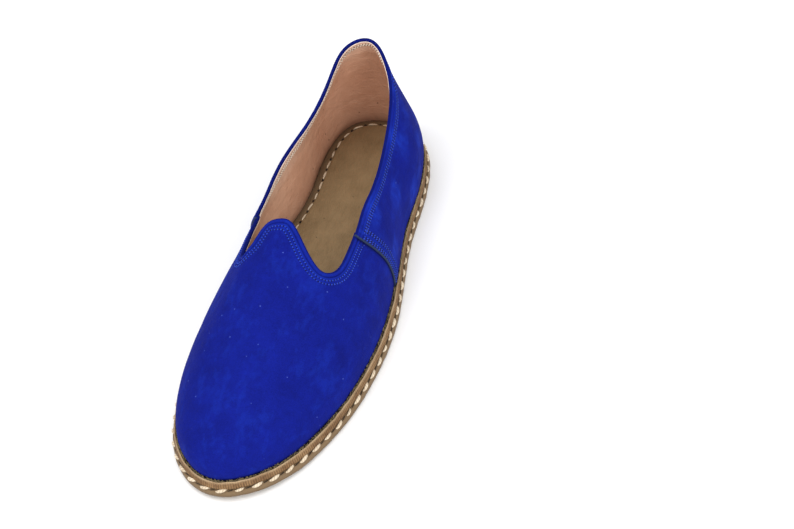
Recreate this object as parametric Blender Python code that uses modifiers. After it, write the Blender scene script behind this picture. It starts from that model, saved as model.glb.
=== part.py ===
"""A left yemeni: a flat slip-on shoe of nubuck on a hand-stitched leather sole.

+Y runs to the toe, +X to the medial side, +Z up. The origin is on the floor below the middle of the shoe.
Sizes below are in millimetres, and MM turns them into metres where a mesh is made.
"""

import bpy
import bmesh
import numpy as np

MM = 0.001

# Heights of the layers, from the floor up.
OUTSOLE_TOP = 4.4
JOINT_GAP = 0.3
WELT_BOTTOM = OUTSOLE_TOP + JOINT_GAP
WELT_TOP = 9.5
UPPER_FOOT = WELT_TOP + JOINT_GAP
INSOLE_TOP = 12.3
INSOLE_PLAY = 0.8
LIP_RUN = 0.025

# The toe lifts off the floor along a parabola.
SPRING_START = 75.0
SPRING_RUN = 70.0
SPRING_RISE = 3.0

# The upper's wall, and what stands proud of it.
WALL = 2.2
FOOT_INSET = 4.0
QUARTER_PROUD = 1.1
BEAD_PROUD = 0.5
BEAD_WIDTH = 2.4
STEP_WIDTH = 0.5

# Where the welt ring ends under the insole.
RING_INSET = 10.0

# How finely the closed forms are divided.
HALF_RING = 52
UPPER_COLUMNS = 104
WALL_ROWS = 14
ROW_CROWDING = 1.35

# How finely the curves are sampled where a length, a middle or a direction is measured on them.
EDGE_SAMPLES = 4001
WALL_SAMPLES = 80
AROUND_STEP = 0.001
RISE_STEP = 0.002

# Faces that meet at more than this many degrees keep a sharp edge in the shading.
SHARP_ANGLE = 35.0

# One row for each station round the shoe, from the toe by the medial side to the heel and back.
# edge is the outsole's outline. out and wall_z shape the wall above it, measured from the upper's foot line.
# crown is the handle that bends the wall over the foot, and rim is the opening of the last above the topline.
STATIONS = (
    # name, edge_x, edge_y, out, wall_z, crown_x, crown_y, crown_z, rim_x, rim_y, rim_z
    ("toe tip", 3, 146.5, 7, 35, 5, 100, 45, 7.5, 9, 74),
    ("toe corner, medial", 24.5, 136, 5.5, 34, 17, 90, 46, 13, 8, 71),
    ("toe side, medial", 40.5, 111, 2.5, 32, 22, 72, 48, 17, 5, 70),
    ("ball, medial", 50, 62, 1, 29, 28, 36, 50.5, 21, -5, 64),
    ("fore waist, medial", 43.5, 0, 0, 27, 34, -22, 45, 29, -28, 57),
    ("waist, medial", 33.5, -70, 2, 27, 33.5, -71, 40, 29, -68, 56),
    ("heel side, medial", 35.5, -112, 3, 30, 31, -110, 48, 21, -105, 67),
    ("heel corner, medial", 26, -137, 4, 32, 20, -135, 58, 16, -121, 82),
    ("heel back", 6, -144, 4, 34, 5, -142, 62, 4, -126.5, 86),
    ("heel corner, lateral", -14, -138, 3, 32, -4, -130, 54, -6.5, -121, 82),
    ("heel side, lateral", -30.5, -110, 4, 30, -25.5, -107, 47, -14.5, -104, 67.5),
    ("waist, lateral", -38, -55, 2, 27, -33, -58, 40, -23, -60, 56.5),
    ("fore waist, lateral", -49, 0, 1, 27, -38, -16, 45, -22, -26, 58),
    ("ball, lateral", -51.5, 50, 3.5, 29, -34, 34, 51, -13, -4, 66),
    ("toe side, lateral", -40.5, 104, 5, 33, -21, 72, 48, -4, 5, 71.5),
    ("toe corner, lateral", -20.5, 136, 6, 34, -8, 90, 46, 2, 8, 74),
)

# The topline, as how far round the shoe and how far up the wall it runs: 0 is the toe and 1 the rim.
TOPLINE = (
    # name, around, up
    ("tab peak", 0.000, 0.988),
    ("tab shoulder, medial", 0.032, 0.981),
    ("tab corner, medial", 0.058, 0.950),
    ("tab side, medial", 0.080, 0.900),
    ("notch front, medial", 0.100, 0.865),
    ("notch fall, medial", 0.118, 0.820),
    ("notch, medial", 0.136, 0.792),
    ("notch floor, medial", 0.157, 0.782),
    ("notch rise, medial", 0.180, 0.790),
    ("seam corner, medial", 0.207, 0.820),
    ("quarter front, medial", 0.250, 0.895),
    ("quarter, medial", 0.290, 0.940),
    ("waist, medial", 0.349, 0.960),
    ("heel side, medial", 0.397, 0.945),
    ("heel rise, medial", 0.440, 0.940),
    ("heel peak", 0.494, 0.935),
    ("heel rise, lateral", 0.545, 0.955),
    ("heel side, lateral", 0.600, 0.975),
    ("waist, lateral", 0.660, 0.970),
    ("quarter, lateral", 0.715, 0.940),
    ("quarter front, lateral", 0.748, 0.895),
    ("seam corner, lateral", 0.780, 0.805),
    ("notch rise, lateral", 0.798, 0.765),
    ("notch floor, lateral", 0.818, 0.736),
    ("notch, lateral", 0.838, 0.752),
    ("notch fall, lateral", 0.854, 0.790),
    ("notch front, lateral", 0.869, 0.844),
    ("tab side, lateral", 0.890, 0.908),
    ("tab corner, lateral", 0.918, 0.957),
    ("tab shoulder, lateral", 0.960, 0.986),
)

# Each side seam starts on the foot line at one place round the shoe and leans to another at the topline.
SEAMS = (
    # name, around at the foot, lean to the topline
    ("medial seam", 0.269, -0.062),
    ("lateral seam", 0.726, 0.054),
)
SEAM_SPREAD = 0.075

# The length of the foot line, and how near a seam, in columns, no other column of the upper may lie.
GIRTH = 700.0
SEAM_CLEARANCE = 0.3

# The side of the sole, from the bottom up: how far in from the edge, and how high.
OUTSOLE_SIDE = ((0.7, 0.0), (0.1, 0.7), (0.0, 1.5), (0.5, 3.4), (1.2, OUTSOLE_TOP))
WELT_SIDE = ((1.7, WELT_BOTTOM), (1.3, 5.6), (1.9, 8.4), (2.5, 9.3), (3.2, WELT_TOP))

# colour, roughness
FINISHES = {
    "outsole": ((0.30, 0.20, 0.11), 0.62),
    "welt": ((0.22, 0.13, 0.065), 0.70),
    "insole": ((0.20, 0.13, 0.07), 0.60),
    "upper": ((0.012, 0.022, 0.36), 0.85),
}


def closed_spline(knots, rows):
    """A smooth closed curve through rows, as a function of how far round it is, from 0 to 1."""
    steps = np.diff(knots)
    count = len(steps)
    matrix = np.zeros((count, count))
    right = np.zeros((count, rows.shape[1]))
    for i in range(count):
        before, after = steps[i - 1], steps[i]
        matrix[i, i - 1] += before
        matrix[i, i] += 2 * (before + after)
        matrix[i, (i + 1) % count] += after
        right[i] = 6 * ((rows[(i + 1) % count] - rows[i]) / after - (rows[i] - rows[i - 1]) / before)
    bends = np.linalg.solve(matrix, right)

    def at(around):
        place = np.mod(np.asarray(around, float), 1.0)
        i = np.clip(np.searchsorted(knots, place, side="right") - 1, 0, count - 1)
        j = (i + 1) % count
        left = ((knots[i + 1] - place) / steps[i])[..., None]
        past = 1 - left
        reach = (steps[i] ** 2)[..., None] / 6
        curve = (left**3 - left) * bends[i] + (past**3 - past) * bends[j]
        return left * rows[i] + past * rows[j] + curve * reach

    return at


def station_spline():
    """The spline through the stations, spaced by the length of the edge between them."""
    rows = np.array([station[1:] for station in STATIONS], float)
    edge = rows[:, :2]
    lengths = np.linalg.norm(np.roll(edge, -1, axis=0) - edge, axis=1)
    knots = np.append(0.0, np.cumsum(lengths)) / lengths.sum()
    return closed_spline(knots, rows)


def middle_of_edge():
    """The middle of the outsole's outline, which becomes the origin."""
    edge = station_at(np.linspace(0, 1, EDGE_SAMPLES))[:, :2]
    return (edge.min(axis=0) + edge.max(axis=0)) / 2


def topline_spline():
    rows = np.array([row[1:] for row in TOPLINE])
    return closed_spline(np.append(rows[:, 0], 1.0), rows[:, 1:])


station_at = station_spline()
top_at = topline_spline()


def spring(y):
    """How far the sole is lifted at y."""
    return SPRING_RISE * np.clip((y - SPRING_START) / SPRING_RUN, 0, None) ** 2


def outward(around):
    """The level direction that points out of the shoe, square to its edge."""
    run = station_at(around + AROUND_STEP)[..., :2] - station_at(around - AROUND_STEP)[..., :2]
    run /= np.linalg.norm(run, axis=-1)[..., None]
    return np.stack([-run[..., 1], run[..., 0]], axis=-1)


def edge_ring(around, inset, height):
    """Points on a ring that lies inset from the sole's edge, lifted with the toe."""
    edge = station_at(around)[..., :2]
    flat = edge - outward(around) * np.asarray(inset)[..., None]
    z = height + spring(flat[..., 1])
    return np.concatenate([flat, z[..., None]], axis=-1)


def last_surface(around, up):
    """A point on the outside of the last: a Bezier arc from the foot line over the foot to the rim."""
    station = station_at(around)
    edge = station[..., :2]
    out = outward(around)
    foot = edge_ring(around, np.full(np.shape(around), FOOT_INSET), UPPER_FOOT)
    wall = np.concatenate([edge - out * (FOOT_INSET - station[..., 2:3]), station[..., 3:4]], axis=-1)
    crown = station[..., 4:7]
    rim = station[..., 7:10]
    v = up[..., None]
    w = 1 - v
    return w**3 * foot + 3 * w * w * v * wall + 3 * w * v * v * crown + v**3 * rim


def leaned(column, rise):
    """Where a column of the upper runs: those near a side seam lean with it."""
    shift = 0
    for _, at_foot, lean in SEAMS:
        shift = shift + lean * np.exp(-(((column - at_foot) / SEAM_SPREAD) ** 2))
    return column + shift * rise**2


def upper_surface(column, rise):
    """The outside of the upper: rise runs from 0 at the foot line to 1 at the topline."""
    top = top_at(leaned(column, np.ones_like(rise)))[..., 0]
    return last_surface(leaned(column, rise), rise * top)


def upper_normal(column, rise):
    """The direction that points out of the upper's surface."""
    across = upper_surface(column + RISE_STEP, rise) - upper_surface(column - RISE_STEP, rise)
    along = upper_surface(column, rise + RISE_STEP) - upper_surface(column, rise - RISE_STEP)
    normal = np.cross(along, across)
    return normal / np.linalg.norm(normal, axis=-1)[..., None]


def seam_columns():
    """Even columns round the upper, with two close ones at each seam that carry its step."""
    columns = list(np.arange(UPPER_COLUMNS) / UPPER_COLUMNS)
    half_step = STEP_WIDTH / GIRTH
    for _, at_foot, _ in SEAMS:
        columns = [c for c in columns if abs(c - at_foot) > SEAM_CLEARANCE / UPPER_COLUMNS]
        columns += [at_foot - half_step, at_foot + half_step]
    return np.array(sorted(columns))


def proud_at(column):
    """How far the outside stands off the last: the quarters lie over the vamp between the seams."""
    medial, lateral = SEAMS[0][1], SEAMS[1][1]
    return np.where((column > medial) & (column < lateral), QUARTER_PROUD, 0.0)


def rises_by_length(columns):
    """For each column, the rises of its rows, closer together near the foot, then of the bead's edges."""
    fine = np.linspace(0, 1, WALL_SAMPLES)
    column, rise = np.meshgrid(columns, fine, indexing="ij")
    points = upper_surface(column, rise)
    pieces = np.linalg.norm(np.diff(points, axis=1), axis=2)
    lengths = np.concatenate([np.zeros((len(columns), 1)), np.cumsum(pieces, axis=1)], axis=1)
    rows = []
    for length in lengths:
        body = np.linspace(0, 1, WALL_ROWS) ** ROW_CROWDING * (length[-1] - BEAD_WIDTH - STEP_WIDTH)
        bead = length[-1] - BEAD_WIDTH
        rows.append(np.interp(np.append(body, [bead, length[-1]]), length, fine))
    return np.array(rows)


def new_object(name, mesh, collection):
    obj = bpy.data.objects.new(name, mesh)
    collection.objects.link(obj)
    colour, roughness = FINISHES[name]
    material = bpy.data.materials.new(name)
    material.use_nodes = True
    shader = material.node_tree.nodes["Principled BSDF"]
    shader.inputs["Base Color"].default_value = (*colour, 1.0)
    shader.inputs["Roughness"].default_value = roughness
    shader.inputs["Metallic"].default_value = 0.0
    mesh.materials.append(material)
    return obj


def mesh_of(name, build):
    """A mesh in metres from build, which fills a bmesh in millimetres."""
    mesh = bpy.data.meshes.new(name)
    work = bmesh.new()
    build(work)
    bmesh.ops.recalc_face_normals(work, faces=work.faces)
    middle_x, middle_y = middle_of_edge()
    bmesh.ops.translate(work, vec=(-middle_x, -middle_y, 0), verts=work.verts)
    bmesh.ops.scale(work, vec=(MM, MM, MM), verts=work.verts)
    work.to_mesh(mesh)
    work.free()
    mesh.shade_smooth()
    mesh.set_sharp_from_angle(angle=np.radians(SHARP_ANGLE))
    return mesh


def ring_places():
    """Places round the edge in pairs: the one at i is as far forward as the one at -i across the shoe."""
    first = station_at(np.linspace(0, 1, EDGE_SAMPLES))[:, 1]
    start = np.argmax(first) / (EDGE_SAMPLES - 1)
    place = start + np.linspace(0, 1, EDGE_SAMPLES)
    y = station_at(place)[:, 1]
    heel = np.argmin(y)
    turn = np.pi * np.arange(1, HALF_RING) / HALF_RING
    wanted = (y[0] + y[heel]) / 2 + (y[0] - y[heel]) / 2 * np.cos(turn)
    medial = np.interp(-wanted, -y[: heel + 1], place[: heel + 1])
    lateral = np.interp(wanted, y[heel:], place[heel:])
    return np.concatenate([[place[0]], medial, [place[heel]], lateral[::-1]])


RING = ring_places()


def add_ring(work, inset, height):
    points = edge_ring(RING, np.broadcast_to(inset, RING.shape), height)
    return [work.verts.new(point) for point in points]


def bridge(work, lower, upper):
    count = len(lower)
    for i in range(count):
        j = (i + 1) % count
        work.faces.new((lower[i], lower[j], upper[j], upper[i]))


def close_across(work, ring):
    """Fills a ring with strips that run straight across the shoe, so that the toe's lift stays true."""
    count = len(ring)
    work.faces.new((ring[0], ring[1], ring[-1]))
    for i in range(1, count // 2 - 1):
        work.faces.new((ring[i], ring[i + 1], ring[count - i - 1], ring[count - i]))
    middle = count // 2
    work.faces.new((ring[middle - 1], ring[middle], ring[middle + 1]))


def stacked_plate(sections):
    """A plate through rings of (inset, height), closed below the first and above the last."""

    def build(work):
        rings = [add_ring(work, inset, height) for inset, height in sections]
        for lower, upper in zip(rings, rings[1:]):
            bridge(work, lower, upper)
        close_across(work, rings[0])
        close_across(work, rings[-1])

    return build


def build_welt(work):
    """The ring between outsole and upper: its side, its flat top and its inner edge."""
    section = WELT_SIDE + ((RING_INSET, WELT_TOP), (RING_INSET, WELT_BOTTOM))
    rings = [add_ring(work, inset, height) for inset, height in section]
    for lower, upper in zip(rings, rings[1:] + rings[:1]):
        bridge(work, lower, upper)


def insole_lip():
    """How far in the insole's lip lies: it follows the wall's inside, which stands wider in the quarters."""
    medial, lateral = SEAMS[0][1], SEAMS[1][1]
    place = np.mod(RING, 1)
    past_medial = np.clip((place - medial) / LIP_RUN, 0, 1)
    before_lateral = np.clip((lateral - place) / LIP_RUN, 0, 1)
    return FOOT_INSET + WALL + INSOLE_PLAY - QUARTER_PROUD * past_medial * before_lateral


def build_wall(work):
    """The open surface of the upper, stepped at the seams and at the bead."""
    columns = seam_columns()
    rises = rises_by_length(columns)
    column = np.broadcast_to(columns[:, None], rises.shape)
    points = upper_surface(column, rises)
    normals = upper_normal(column, rises)
    proud = proud_at(column).copy()
    proud[:, -2:] += BEAD_PROUD
    points = points + normals * proud[..., None]
    points[:, 0, 2] = UPPER_FOOT + spring(points[:, 0, 1])
    grid = [[work.verts.new(point) for point in line] for line in points]
    for i, line in enumerate(grid):
        after = grid[(i + 1) % len(grid)]
        for j in range(len(line) - 1):
            work.faces.new((line[j], after[j], after[j + 1], line[j + 1]))


def remove_startup_objects():
    for obj in list(bpy.data.objects):
        bpy.data.objects.remove(obj)


def main():
    remove_startup_objects()
    shoe = bpy.data.collections.new("yemeni_shoe")
    bpy.context.scene.collection.children.link(shoe)

    new_object("outsole", mesh_of("outsole", stacked_plate(OUTSOLE_SIDE)), shoe)
    new_object("welt", mesh_of("welt", build_welt), shoe)

    body = RING_INSET + JOINT_GAP
    lip = insole_lip()
    insole = ((body, WELT_BOTTOM), (body, UPPER_FOOT), (lip, UPPER_FOOT), (lip, INSOLE_TOP))
    new_object("insole", mesh_of("insole", stacked_plate(insole)), shoe)

    upper = new_object("upper", mesh_of("upper", build_wall), shoe)
    wall = upper.modifiers.new("wall", "SOLIDIFY")
    wall.thickness = WALL * MM
    wall.offset = -1
    wall.use_even_offset = False


main()
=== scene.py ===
# %% [markdown]
# # A left yemeni, dressed
#
# A yemeni is a slip-on shoe sewn by hand: a nubuck upper with a leather lining, a leather insole, and a flat
# leather outsole that one strong thread joins to a welt all the way round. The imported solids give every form
# and size here. This script sews, folds and colours finer pieces over them, in the order that a maker would
# handle them: upper, lining, insole, sole, then the threads.

import bmesh
import bpy
import numpy as np
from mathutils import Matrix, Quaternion, Vector
from mathutils.kdtree import KDTree


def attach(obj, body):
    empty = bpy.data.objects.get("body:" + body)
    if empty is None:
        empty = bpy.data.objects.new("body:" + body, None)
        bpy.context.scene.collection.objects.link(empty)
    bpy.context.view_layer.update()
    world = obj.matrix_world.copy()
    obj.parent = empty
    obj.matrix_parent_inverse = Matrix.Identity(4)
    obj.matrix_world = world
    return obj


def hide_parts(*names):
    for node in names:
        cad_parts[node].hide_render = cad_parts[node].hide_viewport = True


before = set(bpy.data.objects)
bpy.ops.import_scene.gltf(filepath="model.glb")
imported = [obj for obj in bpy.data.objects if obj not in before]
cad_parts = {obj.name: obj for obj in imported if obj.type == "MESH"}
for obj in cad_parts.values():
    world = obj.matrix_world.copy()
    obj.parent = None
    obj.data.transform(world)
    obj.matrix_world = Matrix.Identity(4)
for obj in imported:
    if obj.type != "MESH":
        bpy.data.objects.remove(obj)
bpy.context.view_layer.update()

# %% [markdown]
# ## Camera
#
# The camera stands in front of the toe, on the outer side, and looks down at about 45 degrees with a long
# lens. It is tipped a little to one side, which the roll gives. Placing it by a point, an aim and a roll
# keeps all three readable, where a rotation matrix would hide them.

# %% The camera at the photograph's angle
CAMERA_PLACE = Vector((-0.4094, 0.7616, 0.8620))
CAMERA_AIM = Vector((-0.0470, -0.0098, 0.0300))
CAMERA_ROLL = -9.21
CAMERA_LENS = 99.75
CAMERA_REACH = 20


def put_in_scene(name, data):
    """A new object, linked to the scene."""
    made = bpy.data.objects.new(name, data)
    bpy.context.scene.collection.objects.link(made)
    return made


def aim_at(thing, place, aim, roll=0.0):
    """Stands a camera or a lamp at a place, turned to its aim and rolled by some degrees."""
    thing.location = place
    thing.rotation_mode = "QUATERNION"
    level = (Vector(aim) - Vector(place)).to_track_quat("-Z", "Y")
    thing.rotation_quaternion = level @ Quaternion((0, 0, 1), np.radians(roll))


camera = put_in_scene("camera", bpy.data.cameras.new("camera"))
aim_at(camera, CAMERA_PLACE, CAMERA_AIM, CAMERA_ROLL)
camera.data.lens = CAMERA_LENS
camera.data.clip_end = CAMERA_REACH
bpy.context.scene.camera = camera
print("camera looks from", round((CAMERA_AIM - CAMERA_PLACE).length, 3), "m away")

# %% [markdown]
# ## The last
#
# A shoe is built over a last. Ten numbers at each of sixteen stations round the foot give its form, and one
# closed spline runs through them all. The same spline, topline and seams shape the solids, so what is made
# here lies on them. Sizes are millimetres until a mesh is made.

# %% Sizes shared with the solids
MM = 0.001
OUTSOLE_TOP = 4.4
UPPER_FOOT = 9.8
SPRING_START = 75.0
SPRING_RUN = 70.0
SPRING_RISE = 3.0
WALL = 2.2
FOOT_INSET = 4.0
QUARTER_PROUD = 1.1

STATIONS = (
    # name, edge_x, edge_y, out, wall_z, crown_x, crown_y, crown_z, rim_x, rim_y, rim_z
    ("toe tip", 3, 146.5, 7, 35, 5, 100, 45, 7.5, 9, 74),
    ("toe corner, medial", 24.5, 136, 5.5, 34, 17, 90, 46, 13, 8, 71),
    ("toe side, medial", 40.5, 111, 2.5, 32, 22, 72, 48, 17, 5, 70),
    ("ball, medial", 50, 62, 1, 29, 28, 36, 50.5, 21, -5, 64),
    ("fore waist, medial", 43.5, 0, 0, 27, 34, -22, 45, 29, -28, 57),
    ("waist, medial", 33.5, -70, 2, 27, 33.5, -71, 40, 29, -68, 56),
    ("heel side, medial", 35.5, -112, 3, 30, 31, -110, 48, 21, -105, 67),
    ("heel corner, medial", 26, -137, 4, 32, 20, -135, 58, 16, -121, 82),
    ("heel back", 6, -144, 4, 34, 5, -142, 62, 4, -126.5, 86),
    ("heel corner, lateral", -14, -138, 3, 32, -4, -130, 54, -6.5, -121, 82),
    ("heel side, lateral", -30.5, -110, 4, 30, -25.5, -107, 47, -14.5, -104, 67.5),
    ("waist, lateral", -38, -55, 2, 27, -33, -58, 40, -23, -60, 56.5),
    ("fore waist, lateral", -49, 0, 1, 27, -38, -16, 45, -22, -26, 58),
    ("ball, lateral", -51.5, 50, 3.5, 29, -34, 34, 51, -13, -4, 66),
    ("toe side, lateral", -40.5, 104, 5, 33, -21, 72, 48, -4, 5, 71.5),
    ("toe corner, lateral", -20.5, 136, 6, 34, -8, 90, 46, 2, 8, 74),
)

TOPLINE = (
    # name, around, up
    ("tab peak", 0.000, 0.988),
    ("tab shoulder, medial", 0.032, 0.981),
    ("tab corner, medial", 0.058, 0.950),
    ("tab side, medial", 0.080, 0.900),
    ("notch front, medial", 0.100, 0.865),
    ("notch fall, medial", 0.118, 0.820),
    ("notch, medial", 0.136, 0.792),
    ("notch floor, medial", 0.157, 0.782),
    ("notch rise, medial", 0.180, 0.790),
    ("seam corner, medial", 0.207, 0.820),
    ("quarter front, medial", 0.250, 0.895),
    ("quarter, medial", 0.290, 0.940),
    ("waist, medial", 0.349, 0.960),
    ("heel side, medial", 0.397, 0.945),
    ("heel rise, medial", 0.440, 0.940),
    ("heel peak", 0.494, 0.935),
    ("heel rise, lateral", 0.545, 0.955),
    ("heel side, lateral", 0.600, 0.975),
    ("waist, lateral", 0.660, 0.970),
    ("quarter, lateral", 0.715, 0.940),
    ("quarter front, lateral", 0.748, 0.895),
    ("seam corner, lateral", 0.780, 0.805),
    ("notch rise, lateral", 0.798, 0.765),
    ("notch floor, lateral", 0.818, 0.736),
    ("notch, lateral", 0.838, 0.752),
    ("notch fall, lateral", 0.854, 0.790),
    ("notch front, lateral", 0.869, 0.844),
    ("tab side, lateral", 0.890, 0.908),
    ("tab corner, lateral", 0.918, 0.957),
    ("tab shoulder, lateral", 0.960, 0.986),
)

SEAMS = (
    # name, around at the foot, lean to the topline
    ("medial seam", 0.269, -0.062),
    ("lateral seam", 0.726, 0.054),
)
SEAM_SPREAD = 0.075
MEDIAL_SEAM = SEAMS[0][1]
LATERAL_SEAM = SEAMS[1][1]
BACK_SEAM = 0.494
print(len(STATIONS), "stations,", len(TOPLINE), "places on the topline")


# %% A closed spline
def closed_spline(knots, rows):
    """A smooth closed curve through rows, as a function of how far round it is, from 0 to 1."""
    steps = np.diff(knots)
    count = len(steps)
    matrix = np.zeros((count, count))
    right = np.zeros((count, rows.shape[1]))
    for i in range(count):
        before, after = steps[i - 1], steps[i]
        matrix[i, i - 1] += before
        matrix[i, i] += 2 * (before + after)
        matrix[i, (i + 1) % count] += after
        right[i] = 6 * ((rows[(i + 1) % count] - rows[i]) / after - (rows[i] - rows[i - 1]) / before)
    bends = np.linalg.solve(matrix, right)

    def at(around):
        place = np.mod(np.asarray(around, float), 1.0)
        i = np.clip(np.searchsorted(knots, place, side="right") - 1, 0, count - 1)
        j = (i + 1) % count
        left = ((knots[i + 1] - place) / steps[i])[..., None]
        past = 1 - left
        reach = (steps[i] ** 2)[..., None] / 6
        curve = (left**3 - left) * bends[i] + (past**3 - past) * bends[j]
        return left * rows[i] + past * rows[j] + curve * reach

    return at


def station_spline():
    """The spline through the stations, spaced by the length of the edge between them."""
    rows = np.array([station[1:] for station in STATIONS], float)
    edge = rows[:, :2]
    lengths = np.linalg.norm(np.roll(edge, -1, axis=0) - edge, axis=1)
    knots = np.append(0.0, np.cumsum(lengths)) / lengths.sum()
    return closed_spline(knots, rows)


def topline_spline():
    rows = np.array([row[1:] for row in TOPLINE])
    return closed_spline(np.append(rows[:, 0], 1.0), rows[:, 1:])


station_at = station_spline()
top_at = topline_spline()
EDGE_SAMPLES = 4001
edge_outline = station_at(np.linspace(0, 1, EDGE_SAMPLES))[:, :2]
MIDDLE = np.append((edge_outline.min(axis=0) + edge_outline.max(axis=0)) / 2, 0.0)
SOLE_GIRTH = np.linalg.norm(np.diff(edge_outline, axis=0), axis=1).sum()
print("the sole's edge is", round(SOLE_GIRTH), "mm round")


# %% The sole's edge and the surface of the last
def spring(y):
    """How far the sole is lifted at y."""
    return SPRING_RISE * np.clip((y - SPRING_START) / SPRING_RUN, 0, None) ** 2


def unit(vectors):
    """The same directions, each made 1 long."""
    return vectors / np.linalg.norm(vectors, axis=-1)[..., None]


def square_to(direction, vectors):
    """What is left of the vectors when their share along a direction is taken away."""
    return vectors - direction * (vectors * direction).sum(axis=-1)[..., None]


def outward(around, step=0.001):
    """The level direction that points out of the shoe, square to its edge."""
    run = unit(station_at(around + step)[..., :2] - station_at(around - step)[..., :2])
    return np.stack([-run[..., 1], run[..., 0]], axis=-1)


def level_outward(around):
    """The same direction with its height, 0, for a list of places."""
    return np.concatenate([outward(around), np.zeros((len(around), 1))], axis=1)


def edge_ring(around, inset, height):
    """Points on a ring that lies inset from the sole's edge, lifted with the toe."""
    flat = station_at(around)[..., :2] - outward(around) * np.asarray(inset)[..., None]
    z = height + spring(flat[..., 1])
    return np.concatenate([flat, z[..., None]], axis=-1)


def last_surface(around, up):
    """A point on the outside of the last: a Bezier arc from the foot line over the foot to the rim."""
    station = station_at(around)
    foot = edge_ring(around, FOOT_INSET, UPPER_FOOT)
    beside = station[..., :2] - outward(around) * (FOOT_INSET - station[..., 2:3])
    wall = np.concatenate([beside, station[..., 3:4]], axis=-1)
    crown = station[..., 4:7]
    rim = station[..., 7:10]
    v = up[..., None]
    w = 1 - v
    return w**3 * foot + 3 * w * w * v * wall + 3 * w * v * v * crown + v**3 * rim


def leaned(column, rise):
    """Where a column of the upper runs: those near a side seam lean with it."""
    shift = 0
    for _, at_foot, lean in SEAMS:
        near = np.mod(column - at_foot + 0.5, 1.0) - 0.5
        shift = shift + lean * np.exp(-((near / SEAM_SPREAD) ** 2))
    return column + shift * rise**2


# %% [markdown]
# ## A soft surface
#
# Leather pulled over a last is never perfectly even. A few broad waves, added up from seeded directions, dent
# it by a fraction of a millimetre, and short puckers gather it where it is drawn in at the foot. Blender's
# noise textures could displace it too, but numbers made here can be asked for at any point, so that threads,
# edges and lining all follow the same dents.

# %% Broad waves and the outside of the upper
# Dents are rows of amount and length, in millimetres, and seed.
NUBUCK_DENTS = ((0.22, 48, 3), (0.07, 15, 5))


def broad_waves(points, length, seed):
    """Smooth noise between about -1 and 1 whose dents are about length apart."""
    random = np.random.default_rng(seed)
    total = np.zeros(points.shape[:-1])
    for _ in range(10):
        way = random.normal(size=3)
        way *= 2 * np.pi / length / np.linalg.norm(way)
        total += np.sin(points @ (way * random.uniform(0.7, 1.4)) + random.uniform(0, 2 * np.pi))
    return total / 4


def dents(points, rows):
    """Broad waves of several sizes, added up."""
    return sum(amount * broad_waves(points, length, seed) for amount, length, seed in rows)


def upper_surface(column, rise):
    """The outside of the upper before its dents: rise is 0 at the foot line and 1 at the topline."""
    top = top_at(leaned(column, np.ones_like(rise)))[..., 0]
    return last_surface(leaned(column, rise), rise * top)


def run_round(column, rise, step):
    """How the surface runs from a step before each column to a step after it."""
    return upper_surface(column + step, rise) - upper_surface(column - step, rise)


def run_up(column, rise, step):
    return upper_surface(column, rise + step) - upper_surface(column, rise - step)


def upper_normal(column, rise, step=0.002):
    return unit(np.cross(run_up(column, rise, step), run_round(column, rise, step)))


def dented_surface(column, rise):
    """The outside of the upper with its dents, and the direction out of it."""
    points = upper_surface(column, rise)
    normals = upper_normal(column, rise)
    return points + normals * dents(points, NUBUCK_DENTS)[..., None], normals


# %% [markdown]
# ## Rows that follow the topline
#
# The edging, its groove and the stitches all keep an even distance from the topline, even where it swings
# down into the notches. So the rows of the mesh are placed by their true distance from it, found with a
# k-d tree of points on the topline, and not by counting down each column.

# %% Distances below the topline
TOPLINE_SAMPLES = 3000
DEEPEST_ROW = 16.0
SEARCHED = 2.6

topline_columns = np.linspace(0, 1, TOPLINE_SAMPLES, endpoint=False)
topline_points = upper_surface(topline_columns, np.ones(TOPLINE_SAMPLES))
topline_tree = KDTree(TOPLINE_SAMPLES)
for index, point in enumerate(topline_points):
    topline_tree.insert(point, index)
topline_tree.balance()


def rises_below(columns, distances, samples=90):
    """For each column, the rises at which it is these distances below the topline."""
    reach = np.linspace(0, 1, samples) ** 1.5
    rim = upper_surface(columns, np.ones_like(columns))
    tenth_down = upper_surface(columns, np.full_like(columns, 0.9))
    heights = np.linalg.norm(rim - tenth_down, axis=-1) * 10
    share = np.clip(SEARCHED * DEEPEST_ROW / heights, 0, 1)
    rises = 1 - reach[None, :] * share[:, None]
    column = np.broadcast_to(columns[:, None], rises.shape)
    points = upper_surface(column, rises).reshape(-1, 3)
    depth = np.array([topline_tree.find(point)[2] for point in points]).reshape(rises.shape)
    depth[:, 0] = 0
    depth = np.maximum.accumulate(depth, axis=1)
    return np.array([np.interp(distances, line, rise) for line, rise in zip(depth, rises)])


def wall_rows(columns, near, body_rows):
    """Rows at the distances near below the topline, and below them body_rows even ones down to the foot."""
    top = rises_below(columns, near)
    share = np.linspace(1, 0, body_rows + 1)[1:]
    return np.concatenate([top, top[:, -1:] * share], axis=1)[:, ::-1]


print("the topline is", round(np.linalg.norm(np.diff(topline_points, axis=0), axis=1).sum()), "mm round")
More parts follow.
